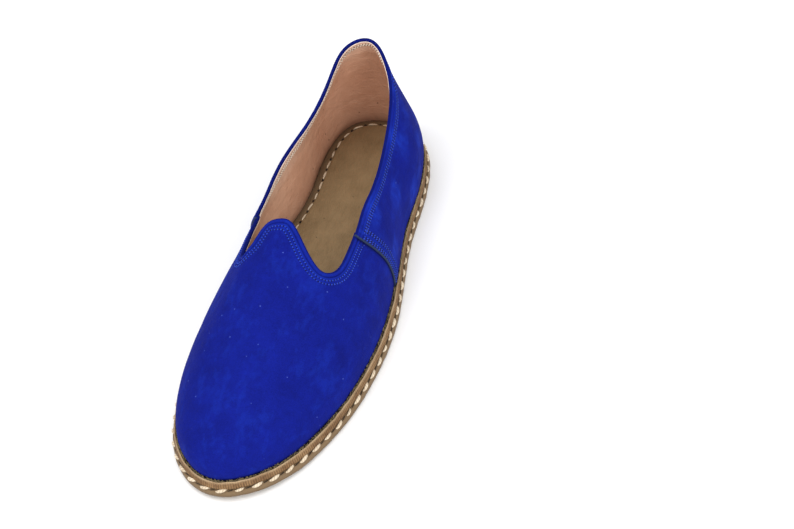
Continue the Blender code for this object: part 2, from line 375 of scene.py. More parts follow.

# %% [markdown]
# ## From numbers to meshes
#
# Every piece is made the same way: a grid of points in millimetres, faces between them, and a few named
# numbers on the points, such as how brushed the nap is there and where a highlight is painted on it. The
# finishes read those numbers through Attribute nodes. Painted textures would do the same, but numbers that
# come with the shape need no unwrapping.

# %% Helpers that make a mesh
def piece_from(name, points, faces, marks, finishes, face_finish=None, merged=None):
    """A piece from points in millimetres: its points nearer than merged, in metres, become one."""
    mesh = bpy.data.meshes.new(name)
    mesh.from_pydata((points.reshape(-1, 3) - MIDDLE) * MM, [], [tuple(face) for face in faces])
    for mark, values in marks.items():
        attribute = mesh.attributes.new(mark, "FLOAT", "POINT")
        spread = np.broadcast_to(values, points.shape[:-1]).astype(np.float32)
        attribute.data.foreach_set("value", spread.ravel())
    for finish in finishes:
        mesh.materials.append(finish)
    if face_finish is not None:
        mesh.polygons.foreach_set("material_index", np.asarray(face_finish, np.int32))
    work = bmesh.new()
    work.from_mesh(mesh)
    bmesh.ops.recalc_face_normals(work, faces=work.faces)
    if merged is not None:
        bmesh.ops.remove_doubles(work, verts=work.verts, dist=merged)
    work.to_mesh(mesh)
    work.free()
    mesh.shade_smooth()
    made = put_in_scene(name, mesh)
    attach(made, "root")
    print(name, "has", sum(len(face) - 2 for face in faces), "triangles")
    return made


def loop_faces(columns, loop, closed):
    """Faces of a sheet whose section is a closed loop of points, one loop in each column."""
    faces = []
    for i in range(columns if closed else columns - 1):
        here = i * loop
        after = (i + 1) % columns * loop
        for k in range(loop):
            up = (k + 1) % loop
            faces.append((here + k, after + k, after + up, here + up))
    return faces


def cap_faces(column, loop):
    """Faces that close a sheet's cut end: each joins a point of its outside to the one opposite inside."""
    start = column * loop
    half = loop // 2
    return [(start + k, start + k + 1, start + loop - k - 2, start + loop - k - 1) for k in range(half - 1)]


def smooth_step(value, low, high):
    """0 below low, 1 above high, and a soft rise between them."""
    share = np.clip((value - low) / (high - low), 0, 1)
    return share * share * (3 - 2 * share)


def ridge(value, centre, width):
    """A soft ridge of height 1 at centre."""
    return np.exp(-(((value - centre) / width) ** 2))


def ridges(value, centres, width):
    return sum(ridge(value, centre, width) for centre in centres)


def bands(value, rows):
    """Soft ridges added up, from rows of strength, centre and width."""
    return sum(strength * ridge(value, centre, width) for strength, centre, width in rows)


# %% [markdown]
# ## Effects that several finishes share
#
# Leather, nubuck and thread have things in common: uneven colour in soft patches, a fine grain or nap, and
# the twist of a thread. Each is one node group here, with its sizes as inputs, and every material places it
# with its own values. Copying the nodes into each material would work, but a change would then have to be
# made many times over.

# %% Building node groups
VECTOR = "NodeSocketVector"
FLOAT = "NodeSocketFloat"


def new_group(name, inputs, outputs):
    """An empty shader group with float or vector inputs, given as name, type and default."""
    group = bpy.data.node_groups.new(name, "ShaderNodeTree")
    for label, kind, value in inputs:
        socket = group.interface.new_socket(label, in_out="INPUT", socket_type=kind)
        if value is not None:
            socket.default_value = value
    for label in outputs:
        group.interface.new_socket(label, in_out="OUTPUT", socket_type=FLOAT)
    start = group.nodes.new("NodeGroupInput")
    end = group.nodes.new("NodeGroupOutput")
    return group, start.outputs, end.inputs


def feed(tree, socket, value):
    """Sets a socket to a number or a colour, or links another node's output to it."""
    if isinstance(value, (int, float)):
        socket.default_value = value
    elif isinstance(value, tuple):
        socket.default_value = (*value, 1.0)
    elif value is not None:
        tree.links.new(value, socket)


def math_node(tree, operation, first, second=None, third=None, clamp=False):
    """A Math node whose inputs are numbers or other nodes' outputs."""
    made = tree.nodes.new("ShaderNodeMath")
    made.operation = operation
    made.use_clamp = clamp
    for socket, value in zip(made.inputs, (first, second, third)):
        feed(tree, socket, value)
    return made.outputs[0]


def weighed(tree, first, second, share):
    """Two values in one: this share of the first, and the rest from the second."""
    return math_node(tree, "MULTIPLY_ADD", first, share, math_node(tree, "MULTIPLY", second, 1 - share))


def texture_node(tree, kind, output, **values):
    """A Noise or Voronoi texture with these inputs."""
    made = tree.nodes.new(kind)
    for label, value in values.items():
        feed(tree, made.inputs[label], value)
    return made.outputs[output]


def noise_node(tree, vector, scale, detail=3.0, roughness=0.5):
    values = {"Vector": vector, "Scale": scale, "Detail": detail, "Roughness": roughness}
    return texture_node(tree, "ShaderNodeTexNoise", "Fac", **values)


def cells_node(tree, vector, scale):
    return texture_node(tree, "ShaderNodeTexVoronoi", "Distance", Vector=vector, Scale=scale)


# %% Soft patches
def patches_group():
    """Soft uneven patches, as a value about 0.5: broad ones with finer ones laid over."""
    inputs = [("Vector", VECTOR, None), ("Size", FLOAT, 0.02), ("Contrast", FLOAT, 1.0)]
    group, start, end = new_group("soft patches", inputs, ["Value"])
    scale = math_node(group, "DIVIDE", 1.0, start["Size"])
    broad = noise_node(group, start["Vector"], scale, 2.0)
    fine = noise_node(group, start["Vector"], math_node(group, "MULTIPLY", scale, 3.7))
    centred = math_node(group, "SUBTRACT", weighed(group, fine, broad, 0.45), 0.5)
    spread = math_node(group, "MULTIPLY", centred, start["Contrast"])
    feed(group, end["Value"], math_node(group, "MULTIPLY_ADD", spread, 3.0, 0.5, clamp=True))
    return group


# %% Fine grain
def grain_group():
    """The height of the fine grain of leather or nap: soft noise, with pebbles between its pores."""
    inputs = [("Vector", VECTOR, None), ("Size", FLOAT, 0.0006)]
    group, start, end = new_group("fine grain", inputs, ["Height"])
    scale = math_node(group, "DIVIDE", 1.0, start["Size"])
    soft = noise_node(group, start["Vector"], scale, 4.0, 0.65)
    cells = cells_node(group, start["Vector"], math_node(group, "MULTIPLY", scale, 0.8))
    feed(group, end["Height"], math_node(group, "SUBTRACT", soft, math_node(group, "MULTIPLY", cells, 0.6)))
    return group


# %% Small specks
def specks_group():
    """A mask of small scattered specks, such as lint or blemishes."""
    inputs = [("Vector", VECTOR, None), ("Spacing", FLOAT, 0.02), ("Share", FLOAT, 0.05)]
    group, start, end = new_group("small specks", inputs, ["Mask"])
    cells = cells_node(group, start["Vector"], math_node(group, "DIVIDE", 1.0, start["Spacing"]))
    feed(group, end["Mask"], math_node(group, "LESS_THAN", cells, start["Share"]))
    return group


# %% The twist of a thread
def twist_group():
    """Twisted strands: a height and a shade from how far along and round the thread a point is."""
    inputs = [("Turn", FLOAT, 0.0), ("Strands", FLOAT, 2.0)]
    group, start, end = new_group("thread twist", inputs, ["Height", "Shade"])
    turns = math_node(group, "MULTIPLY", start["Turn"], start["Strands"])
    wave = math_node(group, "ABSOLUTE", math_node(group, "SINE", math_node(group, "MULTIPLY", turns, np.pi)))
    feed(group, end["Height"], wave)
    feed(group, end["Shade"], math_node(group, "SMOOTH_MIN", wave, 0.6, 0.3))
    return group


PATCHES = patches_group()
GRAIN = grain_group()
SPECKS = specks_group()
TWIST = twist_group()
print("node groups:", sorted(group.name for group in bpy.data.node_groups))

# %% [markdown]
# ## Finishes
#
# A finish starts from a Principled BSDF and adds, in this order: two colours mixed by soft patches, the marks
# that the shape carries, and a bump from the grain. What is the same all over, such as sheen, is set on the
# shader itself.

# %% Helpers that build a finish
class Finish:
    """A material being built, with the nodes that every finish needs."""

    def __init__(self, name, roughness, **constants):
        self.material = bpy.data.materials.new(name)
        self.material.use_nodes = True
        self.tree = self.material.node_tree
        self.shader = self.tree.nodes["Principled BSDF"]
        self.shader.inputs["Roughness"].default_value = roughness
        for label, value in constants.items():
            self.shader.inputs[label.replace("_", " ")].default_value = value
        self.place = self.tree.nodes.new("ShaderNodeTexCoord").outputs["Object"]

    def math(self, operation, first, second=None, third=None, clamp=False):
        return math_node(self.tree, operation, first, second, third, clamp)

    def group(self, group, vector=None, **values):
        made = self.tree.nodes.new("ShaderNodeGroup")
        made.node_tree = group
        if "Vector" in made.inputs:
            self.tree.links.new(self.place if vector is None else vector, made.inputs["Vector"])
        for label, value in values.items():
            feed(self.tree, made.inputs[label], value)
        return made.outputs

    def patches(self, size, contrast, vector=None):
        return self.group(PATCHES, vector, Size=size, Contrast=contrast)["Value"]

    def grain(self, size):
        return self.group(GRAIN, Size=size)["Height"]

    def specks(self, spacing, share, strength):
        """A mask of specks that covers them with this strength."""
        return self.math("MULTIPLY", self.group(SPECKS, Spacing=spacing, Share=share)["Mask"], strength)

    def stretched(self, x, y, z):
        """The place with its axes stretched, for patches that run one way."""
        made = self.tree.nodes.new("ShaderNodeMapping")
        made.inputs["Scale"].default_value = (x, y, z)
        self.tree.links.new(self.place, made.inputs["Vector"])
        return made.outputs["Vector"]

    def mark(self, name):
        """A number that the mesh carries on its points."""
        made = self.tree.nodes.new("ShaderNodeAttribute")
        made.attribute_name = name
        return made.outputs["Fac"]

    def colour(self, first, second, share, blend="MIX"):
        """Two colours mixed, each a triple or another node's output."""
        made = self.tree.nodes.new("ShaderNodeMix")
        made.data_type = "RGBA"
        made.blend_type = blend
        factor, a, b = made.inputs[0], made.inputs[6], made.inputs[7]
        for socket, value in ((factor, share), (a, first), (b, second)):
            feed(self.tree, socket, value)
        return made.outputs[2]

    def darkened(self, colour, value, factor, offset):
        """A colour multiplied by a value, which is first scaled and raised."""
        scaled = self.math("MULTIPLY_ADD", value, factor, offset)
        grey = self.tree.nodes.new("ShaderNodeCombineColor")
        for socket in grey.inputs:
            feed(self.tree, socket, scaled)
        return self.colour(colour, grey.outputs["Color"], 1.0, "MULTIPLY")

    def finish(self, base, bumps=(), roughness=None):
        """Connects the colour, the bumps as (height, distance in metres), and the roughness."""
        feed(self.tree, self.shader.inputs["Base Color"], base)
        feed(self.tree, self.shader.inputs["Roughness"], roughness)
        normal = None
        for height, distance in bumps:
            bump = self.tree.nodes.new("ShaderNodeBump")
            for label, value in (("Distance", distance), ("Height", height), ("Normal", normal)):
                feed(self.tree, bump.inputs[label], value)
            normal = bump.outputs["Normal"]
        feed(self.tree, self.shader.inputs["Normal"], normal)
        return self.material


# %% [markdown]
# ## Nubuck
#
# Nubuck is leather sanded on its grain side until it has a short nap. It has no gloss, only a faint sheen at
# grazing angles, and its blue is darker or lighter where a finger has brushed the nap one way or the other.
# The raised bead and bands beside the topline and the seams carry a painted highlight, and the grooves, stitch
# lines, seam edges and the foot carry painted shade.

# %% The blue nubuck finish
NAP_DARK = (0.0045, 0.0085, 0.165)
NAP_MID = (0.0072, 0.0160, 0.295)
NAP_LIGHT = (0.011, 0.042, 0.50)
# Painted shade: the nap's colour in its grooves, along stitch lines and seam edges, and at the foot.
NAP_SHADE = (0.0015, 0.003, 0.050)
LINT = (0.10, 0.16, 0.62)


def nubuck_finish(name):
    sheen = {"Sheen_Weight": 0.02, "Sheen_Roughness": 0.4, "Sheen_Tint": (0.08, 0.2, 1.0, 1.0)}
    build = Finish(name, 0.88, Specular_IOR_Level=0.05, **sheen)
    broad = build.patches(0.030, 0.8)
    small = build.patches(0.009, 0.9)
    brushed_and_highlight = build.patches(0.010, 1.3, build.stretched(1.0, 0.45, 0.8))
    nap = build.colour(NAP_DARK, NAP_MID, weighed(build.tree, small, broad, 0.4))
    streaks = build.math("MULTIPLY", build.math("SUBTRACT", brushed_and_highlight, 0.52, clamp=True), 0.42)
    # Lighter nap from brushed streaks, and painted highlight on the raised bead and bands.
    nap = build.colour(nap, NAP_LIGHT, build.math("ADD", streaks, build.mark("brushed_and_highlight"), clamp=True))
    # Painted shade: the grooves, stitch lines, seam edges and foot are darkened by the mark read here.
    nap = build.colour(nap, NAP_SHADE, build.mark("pressed_and_shade"))
    nap = build.colour(nap, LINT, build.specks(0.0075, 0.05, 0.6))
    fibres = build.grain(0.00042)
    nap = build.darkened(nap, fibres, 0.5, 0.72)
    rough = build.math("MULTIPLY_ADD", small, 0.10, 0.82)
    return build.finish(nap, [(build.grain(0.0016), 0.00016), (fibres, 0.00010)], rough)


# %% [markdown]
# ## Smooth leathers
#
# The lining is a thin pink-tan leather, smooth and a little shiny, wrinkled at the heel. The insole and
# outsole are vegetable-tanned: olive-tan, with faint cloudy marks. They differ only in colour and in one
# darker mark, which is painted shade at the insole's rim and the darker cut side of the outsole, so one
# function makes both. Where leather is cut, its edge is paler and fibrous.

# %% Leather finishes
RAW_DARK = (0.004, 0.013, 0.055)
RAW_LIGHT = (0.022, 0.052, 0.115)
LINING_DARK = (0.63, 0.34, 0.218)
LINING_LIGHT = (0.78, 0.475, 0.322)
# Pale colour of the lining's cut edge, also used as painted light over the top of the lining.
LINING_CUT_AND_LIGHT = (1.0, 0.80, 0.66)
# Painted shade low inside the shoe and along the lining's stitch rows.
LINING_SHADE_COLOUR = (0.22, 0.105, 0.06)
LINING_BLEMISH = (0.16, 0.08, 0.05)
WELT_DARK = (0.215, 0.110, 0.045)
WELT_LIGHT = (0.415, 0.245, 0.112)
# Painted shade in the knife marks' grooves.
WELT_KNIFE_SHADE = (0.085, 0.042, 0.018)
WELT_CREST = (0.54, 0.38, 0.22)
# Painted shade in the channel against the upper and where the welt meets the outsole.
WELT_CHANNEL_SHADE = (0.030, 0.020, 0.012)


def fibrous_finish(name, roughness, dark, light, grain, bump):
    """Torn or cut leather, whose fibres are all that shows: a raw edge, or the inside of a hole."""
    build = Finish(name, roughness)
    fibres = build.grain(grain)
    return build.finish(build.colour(dark, light, fibres), [(fibres, bump)])


def lining_finish():
    build = Finish("lining_leather", 0.5, Specular_IOR_Level=0.4)
    clouds = build.patches(0.022, 0.8)
    wrinkles = build.patches(0.0032, 1.2, build.stretched(0.25, 0.25, 1.0))
    tan = build.colour(LINING_DARK, LINING_LIGHT, clouds)
    # The cut edge's pale line, and painted light fading down from the top.
    tan = build.colour(tan, LINING_CUT_AND_LIGHT, build.mark("edge"))
    # Painted shade, darkest where the lining meets the insole.
    tan = build.colour(tan, LINING_SHADE_COLOUR, build.mark("lining_shade_mark"))
    tan = build.colour(tan, LINING_BLEMISH, build.specks(0.009, 0.065, 0.75))
    rough = build.math("MULTIPLY_ADD", clouds, 0.15, 0.42)
    return build.finish(tan, [(wrinkles, 0.0002), (build.grain(0.0009), 0.00012)], rough)


def tanned_finish(name, dark, light, roughness, shade_and_tone, shade_and_tone_colour):
    """Vegetable-tanned leather, cloudy and faintly scuffed, with a mark that turns it to another colour."""
    build = Finish(name, roughness, Specular_IOR_Level=0.35)
    clouds = build.patches(0.028, 1.0)
    flecks = build.patches(0.0035, 1.0, build.stretched(1.0, 0.3, 1.0))
    hide = build.colour(dark, light, weighed(build.tree, flecks, clouds, 0.35))
    # A darker mark: painted shade on the insole's rim, the darker cut side on the outsole.
    hide = build.colour(hide, shade_and_tone_colour, build.mark(shade_and_tone))
    hide = build.colour(hide, tuple(0.45 * level for level in dark), build.specks(0.011, 0.045, 0.7))
    rough = build.math("MULTIPLY_ADD", clouds, 0.18, roughness - 0.09)
    return build.finish(hide, [(flecks, 0.00025), (build.grain(0.0007), 0.00014)], rough)


def welt_finish():
    """The welt's cut side, striated by the knife with painted shade in its grooves, a paler ridge, and painted
    shade in the channel inside it and at its foot.
    """
    build = Finish("welt_leather", 0.72, Specular_IOR_Level=0.25)
    side = build.colour(WELT_DARK, WELT_LIGHT, build.patches(0.012, 1.2))
    for mark, colour in (("cut", WELT_KNIFE_SHADE), ("crest", WELT_CREST), ("dark", WELT_CHANNEL_SHADE)):
        side = build.colour(side, colour, build.mark(mark))
    fibres = build.grain(0.0006)
    return build.finish(build.darkened(side, fibres, 0.6, 0.68), [(fibres, 0.0003)])


def thread_finish(name, dark, light, roughness, strands):
    """A thread: twisted strands, paler on top and dark between."""
    build = Finish(name, roughness, Specular_IOR_Level=0.3)
    twist = build.group(TWIST, Turn=build.mark("turn"), Strands=strands)
    shade = build.math("MULTIPLY", twist["Shade"], 0.8)
    share = build.math("MULTIPLY_ADD", build.patches(0.006, 1.0), 0.45, shade, clamp=True)
    return build.finish(build.colour(dark, light, share), [(twist["Height"], 0.00025)])


NUBUCK = nubuck_finish("blue_nubuck")
RAW_EDGE = fibrous_finish("raw_nubuck_edge", 0.9, RAW_DARK, RAW_LIGHT, 0.0005, 0.0002)
# Plugs of painted shade in the awl holes.
AWL_HOLE_SHADE = fibrous_finish("hole_shade", 0.95, (0.010, 0.006, 0.004), (0.075, 0.042, 0.022), 0.0004, 0.0003)
LINING = lining_finish()
# The insole's rim mark is painted shade where it meets the lining.
INSOLE = tanned_finish(
    "insole_leather", (0.165, 0.108, 0.048), (0.275, 0.185, 0.092), 0.6, "rim", (0.10, 0.062, 0.032)
)
# The outsole's side mark is its own darker cut side.
SOLE = tanned_finish(
    "sole_leather", (0.27, 0.185, 0.10), (0.42, 0.30, 0.17), 0.65, "side", (0.165, 0.103, 0.050)
)
WELT = welt_finish()
BLUE_THREAD = thread_finish("blue_thread", (0.008, 0.025, 0.33), (0.028, 0.085, 0.66), 0.85, 2.0)
# Dark plugs of painted shade in the stitch holes, on the nubuck and on the lining.
STITCH_HOLE_SHADE = thread_finish("stitch_hole_shade", (0.0015, 0.002, 0.03), (0.004, 0.006, 0.07), 0.9, 1.0)
LINING_HOLE_SHADE = thread_finish("lining_hole_shade", (0.16, 0.075, 0.045), (0.26, 0.13, 0.08), 0.9, 1.0)
LINING_THREAD = thread_finish("lining_thread", (0.74, 0.53, 0.38), (1.0, 0.93, 0.80), 0.6, 2.0)
HAND_THREAD = thread_finish("waxed_hand_thread", (0.40, 0.28, 0.17), (0.86, 0.74, 0.56), 0.6, 1.5)
FIBRE = thread_finish("frayed_fibre", (0.085, 0.060, 0.028), (0.36, 0.285, 0.16), 0.9, 1.0)
print("finishes:", len(bpy.data.materials))

# %% [markdown]
# ## Vamp and quarters
#
# The vamp is one piece of nubuck over the toes, ending in the rounded tab. The quarters wrap the heel and lie
# over the vamp's sides, with a cut edge at each seam. Both are folded in along the topline over a cord, which
# makes the rolled edging, and pressed down again by the stitches beside it. Each is a sheet of leather with
# real thickness: a grid of columns, every column a closed loop that runs up the outside, over the fold and
# down the inside. A Solidify modifier would give the thickness too, but not the fold.

# %% How the outside of the wall rises and falls near the topline
NUBUCK_THICKNESS = 1.0
FOLD_THICKNESS = 1.85
EDGING_PROUD = 0.5
FOLD_START = 0.9
STITCH_LINES = (4.4, 6.5)
SEAM_LINES = (1.5, 2.8, 6.0, 7.3)
FAR_BELOW = 60.0

NEAR_ROWS = np.concatenate([np.linspace(FOLD_START, 3.1, 15), np.linspace(3.35, 7.9, 20), [8.6, 9.6, 11, 13]])

# Bands are rows of strength, centre and width, in millimetres below the topline or behind a side seam.
PRESSED_BANDS = ((0.14, 3.5, 0.6), (0.09, 5.45, 0.6))
# Painted highlight on the raised bead and bands below the topline, and on the bands beside the side seams.
HIGHLIGHT_BELOW = ((0.22, 1.2, 1.0), (0.30, 3.4, 0.8), (0.12, 5.5, 1.6))
HIGHLIGHT_BEHIND = ((0.28, 4.3, 1.4), (0.14, 9.5, 3.0))


def edging_relief(below, cord, lines):
    """How far the outside stands out below the topline: bead and groove of the cord, band, stitch lines."""
    share = np.clip((below - 1.05) / 1.35, -1, 1)
    bead = EDGING_PROUD * np.sqrt(1 - share**2) * (below < 2.6)
    groove = -0.34 * ridge(below, 2.62, 0.25)
    return cord * (bead + groove) + bands(below, PRESSED_BANDS) - 0.14 * ridges(below, lines, 0.36)


def seam_relief(behind):
    """The same across a seam: the quarter's cut edge is squeezed thin, and its stitches pull it down."""
    pressed_and_shade = -0.50 * ridge(behind, 0.0, 0.65)
    return pressed_and_shade - 0.13 * ridges(behind, SEAM_LINES, 0.4) + 0.08 * ridge(behind, 4.1, 1.2)


def puckers(column, height):
    """Short gathers where the nubuck is drawn in over the foot line."""
    place = column * SOLE_GIRTH
    wave = np.sin(place / 1.35 + 2.2 * np.sin(place / 9.0)) * (0.6 + 0.4 * np.sin(place / 23.0))
    return 0.10 * wave * np.exp(-height / 3.0)


# %% Distances measured on the wall
def depths_below(shape, rows):
    """How far below the topline each point is, known for the near rows: the others are far."""
    below = np.full(shape, FAR_BELOW)
    below[:, -len(rows):] = rows[::-1]
    return below


def behind_seams(columns, rises):
    """How far each point is behind the nearer side seam, in millimetres, measured square to it."""
    step = 0.001
    found = np.full(rises.shape, 1e3)
    for seam in (MEDIAL_SEAM, LATERAL_SEAM):
        at = np.full(rises.shape, seam)
        along = unit(run_up(at, rises, step))
        across = run_round(at, rises, step) / (2 * step)
        square = np.linalg.norm(square_to(along, across), axis=-1)
        near = np.mod(columns - seam + 0.5, 1.0) - 0.5
        found = np.minimum(found, np.abs(near) * square)
    return found


def upward(columns):
    """At the topline, the direction that runs on up the wall, square to the line and its normal."""
    rim = np.ones_like(columns)
    along = unit(run_round(columns, rim, 0.0008))
    normal = unit(square_to(along, upper_normal(columns, rim)))
    up = np.cross(along, normal)
    rising = upper_surface(columns, rim) - upper_surface(columns, rim * 0.985)
    up *= np.sign((up * rising).sum(axis=-1))[..., None]
    return up, normal


# %% One sheet of nubuck
ARC_POINTS = 10
# How far the fold over the cord is darkened along its rounded top.
FOLD_DARKENING = 0.55
FOOT_TUCK = 1.1
TUCK_IN = 0.35
FOLD_LIFT = 0.35
RAW_WIDTH = 0.85
NAP_RUN = np.array([1.0, 1.4, 0.8])
STROKE = {"length": 19, "seed": 12}
STROKE_TEXTURE = {"length": 5, "seed": 13}
HEEL_LEAN = 0.75


def raw_columns(columns):
    """1 for each strip between two columns that is the quarter's bevelled cut edge, and 0 for the others."""
    middle = (columns[1:] + columns[:-1]) / 2
    near = np.minimum(middle - columns[0], columns[-1] - middle)
    return (near < RAW_WIDTH / SOLE_GIRTH).astype(int)


def quarter_marks(base, column, behind, relief, pressed_and_shade, brushed_and_highlight):
    """Adds to the relief and marks what only the quarters have: seam bands with painted highlight, nap
    strokes, and painted shade in the seam's stitch lines and the back seam's groove.
    """
    strokes = 0.65 + 0.35 * broad_waves(base * NAP_RUN, **STROKE_TEXTURE)
    # Painted highlight on the bands beside the seams; the strokes after it are brushed nap.
    brushed_and_highlight = brushed_and_highlight + bands(behind, HIGHLIGHT_BEHIND)
    brushed_and_highlight = brushed_and_highlight + 0.64 * np.clip(broad_waves(base * NAP_RUN, **STROKE) - 0.1, 0, 1) * strokes
    from_back = (column - BACK_SEAM) * SOLE_GIRTH * HEEL_LEAN
    relief = relief + seam_relief(behind)
    relief = relief - 0.32 * ridge(from_back, 0, 0.4) + 0.12 * ridge(np.abs(from_back), 1.2, 0.6)
    # Painted shade along the seam's stitch lines and in the back seam's groove.
    pressed_and_shade = pressed_and_shade + 0.35 * ridges(behind, SEAM_LINES, 0.35) + 0.8 * ridge(from_back, 0, 0.35)
    return relief, pressed_and_shade, brushed_and_highlight


def folded_edge(columns, proud, cord):
    """The arc of points in each column that turns the sheet over its cord at the topline."""
    up, level = upward(columns)
    rim, _ = dented_surface(columns, np.ones_like(columns))
    turn = np.pi * np.arange(1, ARC_POINTS + 1) / (ARC_POINTS + 1)
    middle = (cord * EDGING_PROUD - FOLD_THICKNESS) / 2
    half = (cord * EDGING_PROUD + FOLD_THICKNESS) / 2
    sideways = proud + middle + half * np.cos(turn)
    lift = -FOLD_START + (FOLD_START + FOLD_LIFT) * np.sin(turn) ** 0.8
    return rim[:, None] + level[:, None] * sideways[None, :, None] + up[:, None] * lift[None, :, None]


def nubuck_sheet(name, columns, body_rows, proud, cord, lines, overlaps):
    """One sheet: cord is how strongly its edging stands out, and lines are its stitch lines below it."""
    rises = wall_rows(columns, NEAR_ROWS, body_rows)
    column = np.broadcast_to(columns[:, None], rises.shape)
    base, normals = dented_surface(column, rises)
    below = depths_below(rises.shape, NEAR_ROWS)
    behind = behind_seams(column, rises)
    height = base[..., 2] - base[:, :1, 2]
    relief = edging_relief(below, cord, lines) + puckers(column, height)
    # Painted shade in the groove under the cord's bead.
    pressed_and_shade = 0.55 * cord * ridge(below, 2.6, 0.4)
    # Painted highlight on the bead and on the raised bands between groove and stitch lines.
    brushed_and_highlight = bands(below, HIGHLIGHT_BELOW)
    if overlaps:
        relief, pressed_and_shade, brushed_and_highlight = quarter_marks(base, column, behind, relief, pressed_and_shade, brushed_and_highlight)
    else:
        # Painted shadow cast by the quarter's cut edge on the vamp in front of it.
        pressed_and_shade = pressed_and_shade + 0.85 * ridge(np.minimum(behind, 5.0), 0.2, 1.1)
    # Painted shade along the stitch lines, and at the foot where the upper meets the welt.
    pressed_and_shade = pressed_and_shade + 0.30 * ridges(below, lines, 0.3)
    pressed_and_shade = pressed_and_shade + 0.7 * np.exp(-height / 0.9)
    outside = base + normals * (proud + relief)[..., None]
    depth = NUBUCK_THICKNESS + (FOLD_THICKNESS - NUBUCK_THICKNESS) * (1 - smooth_step(below, 1.3, 1.8))
    inside = base + normals * (proud - depth)[..., None]
    tuck = outside[:, :1] - level_outward(columns)[:, None] * TUCK_IN - [0, 0, FOOT_TUCK]
    tuck_inside = inside[:, :1] - [0, 0, FOOT_TUCK]

    arc = folded_edge(columns, proud, cord)
    loop = np.concatenate([tuck, outside, arc, inside[:, ::-1], tuck_inside], axis=1)
    ones = np.ones((len(columns), 1))
    arc_ones = np.ones((len(columns), ARC_POINTS))
    # Along each loop, the tuck under the foot takes full painted shade, the fold its own darkening and a
    # little painted highlight.
    pressed_and_shade = np.concatenate([ones, pressed_and_shade, FOLD_DARKENING * arc_ones, 0 * pressed_and_shade, ones], axis=1)
    brushed_and_highlight = np.concatenate([0 * ones, brushed_and_highlight, 0.10 * arc_ones, 0 * brushed_and_highlight, 0 * ones], axis=1)
    length = loop.shape[1]
    caps = cap_faces(0, length) + cap_faces(len(columns) - 1, length)
    faces = loop_faces(len(columns), length, False)
    marks = {"pressed_and_shade": np.clip(pressed_and_shade, 0, 1), "brushed_and_highlight": np.clip(brushed_and_highlight, 0, 1)}
    raw = raw_columns(columns) if overlaps else np.zeros(len(columns) - 1, int)
    face_finish = list(np.repeat(raw, length)) + [1] * len(caps)
    return piece_from(name, loop, faces + caps, marks, [NUBUCK, RAW_EDGE], face_finish)


# %% The vamp, tucked under the quarters
TUCK_UNDER = 0.0045
VAMP_CORD = 0.7
VAMP_COLUMNS = 400
VAMP_ROWS = 58
QUARTER_CORD = 0.25
QUARTER_LINES = (4.5, 5.8)
QUARTER_COLUMNS = 330
QUARTER_ROWS = 30

vamp_columns = np.linspace(LATERAL_SEAM - 1 - TUCK_UNDER, MEDIAL_SEAM + TUCK_UNDER, VAMP_COLUMNS)
vamp = nubuck_sheet("vamp", vamp_columns, VAMP_ROWS, 0.0, VAMP_CORD, STITCH_LINES, False)
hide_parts("upper")

# %% The quarters, with close columns at their cut edges and at the back seam
cut_edge = np.array([0, 0.3, 0.6, 0.9, 1.3, 1.8, 2.3, 2.8, 3.3]) / SOLE_GIRTH
back_band = BACK_SEAM + np.linspace(-3.2, 3.2, 25) / SOLE_GIRTH
even = np.linspace(MEDIAL_SEAM + cut_edge[-1], LATERAL_SEAM - cut_edge[-1], QUARTER_COLUMNS)
even = even[np.abs(even - BACK_SEAM) > 3.6 / SOLE_GIRTH]
quarter_columns = np.sort(
    np.concatenate([even, MEDIAL_SEAM + cut_edge[:-1], LATERAL_SEAM - cut_edge[:-1], back_band])
)
nubuck_sheet(
    "quarters", quarter_columns, QUARTER_ROWS, QUARTER_PROUD, QUARTER_CORD, QUARTER_LINES, True
)

# %% [markdown]
# ## Lining
#
# The lining is sewn in with its cut edge just under the rolled edging, where it shows as a thin pale line. It
# runs down to the insole all the way round. It steps outwards behind the seams, where the wall outside it is
# thinner by the vamp. A closed loop in every column makes it, as for the nubuck, but it needs no caps.

# %% The lining
LINING_TOP = 0.85
LINING_THICKNESS = 0.8
LINING_EDGE = 0.3
LINING_STITCH_LINES = (3.7, 5.2)
LINING_ROWS = np.concatenate([np.linspace(LINING_TOP, 6.4, 20), [7.2, 8.4, 10, 12.5]])
LINING_COLUMNS = 460
LINING_BODY_ROWS = 24
LINING_DENTS = ((0.10, 11, 9),)
LINING_FOOT = 1.2
LINING_STEP = (0, 0.014)
WELT_STEP = (0.004, 0.01)


def in_quarters(around, before, after):
    """1 in the quarters and 0 in the vamp, with a soft step from before each seam to after it."""
    place = np.mod(around, 1.0)
    past = smooth_step(place, MEDIAL_SEAM - before, MEDIAL_SEAM + after)
    return past * (1 - smooth_step(place, LATERAL_SEAM - after, LATERAL_SEAM + before))


def lining_surface(columns, rises, below):
    base, normals = dented_surface(columns, rises)
    relief = dents(base, LINING_DENTS) - 0.10 * ridges(below, LINING_STITCH_LINES, 0.3)
    depth = WALL - QUARTER_PROUD * in_quarters(columns, *LINING_STEP)
    return base, normals, depth + relief


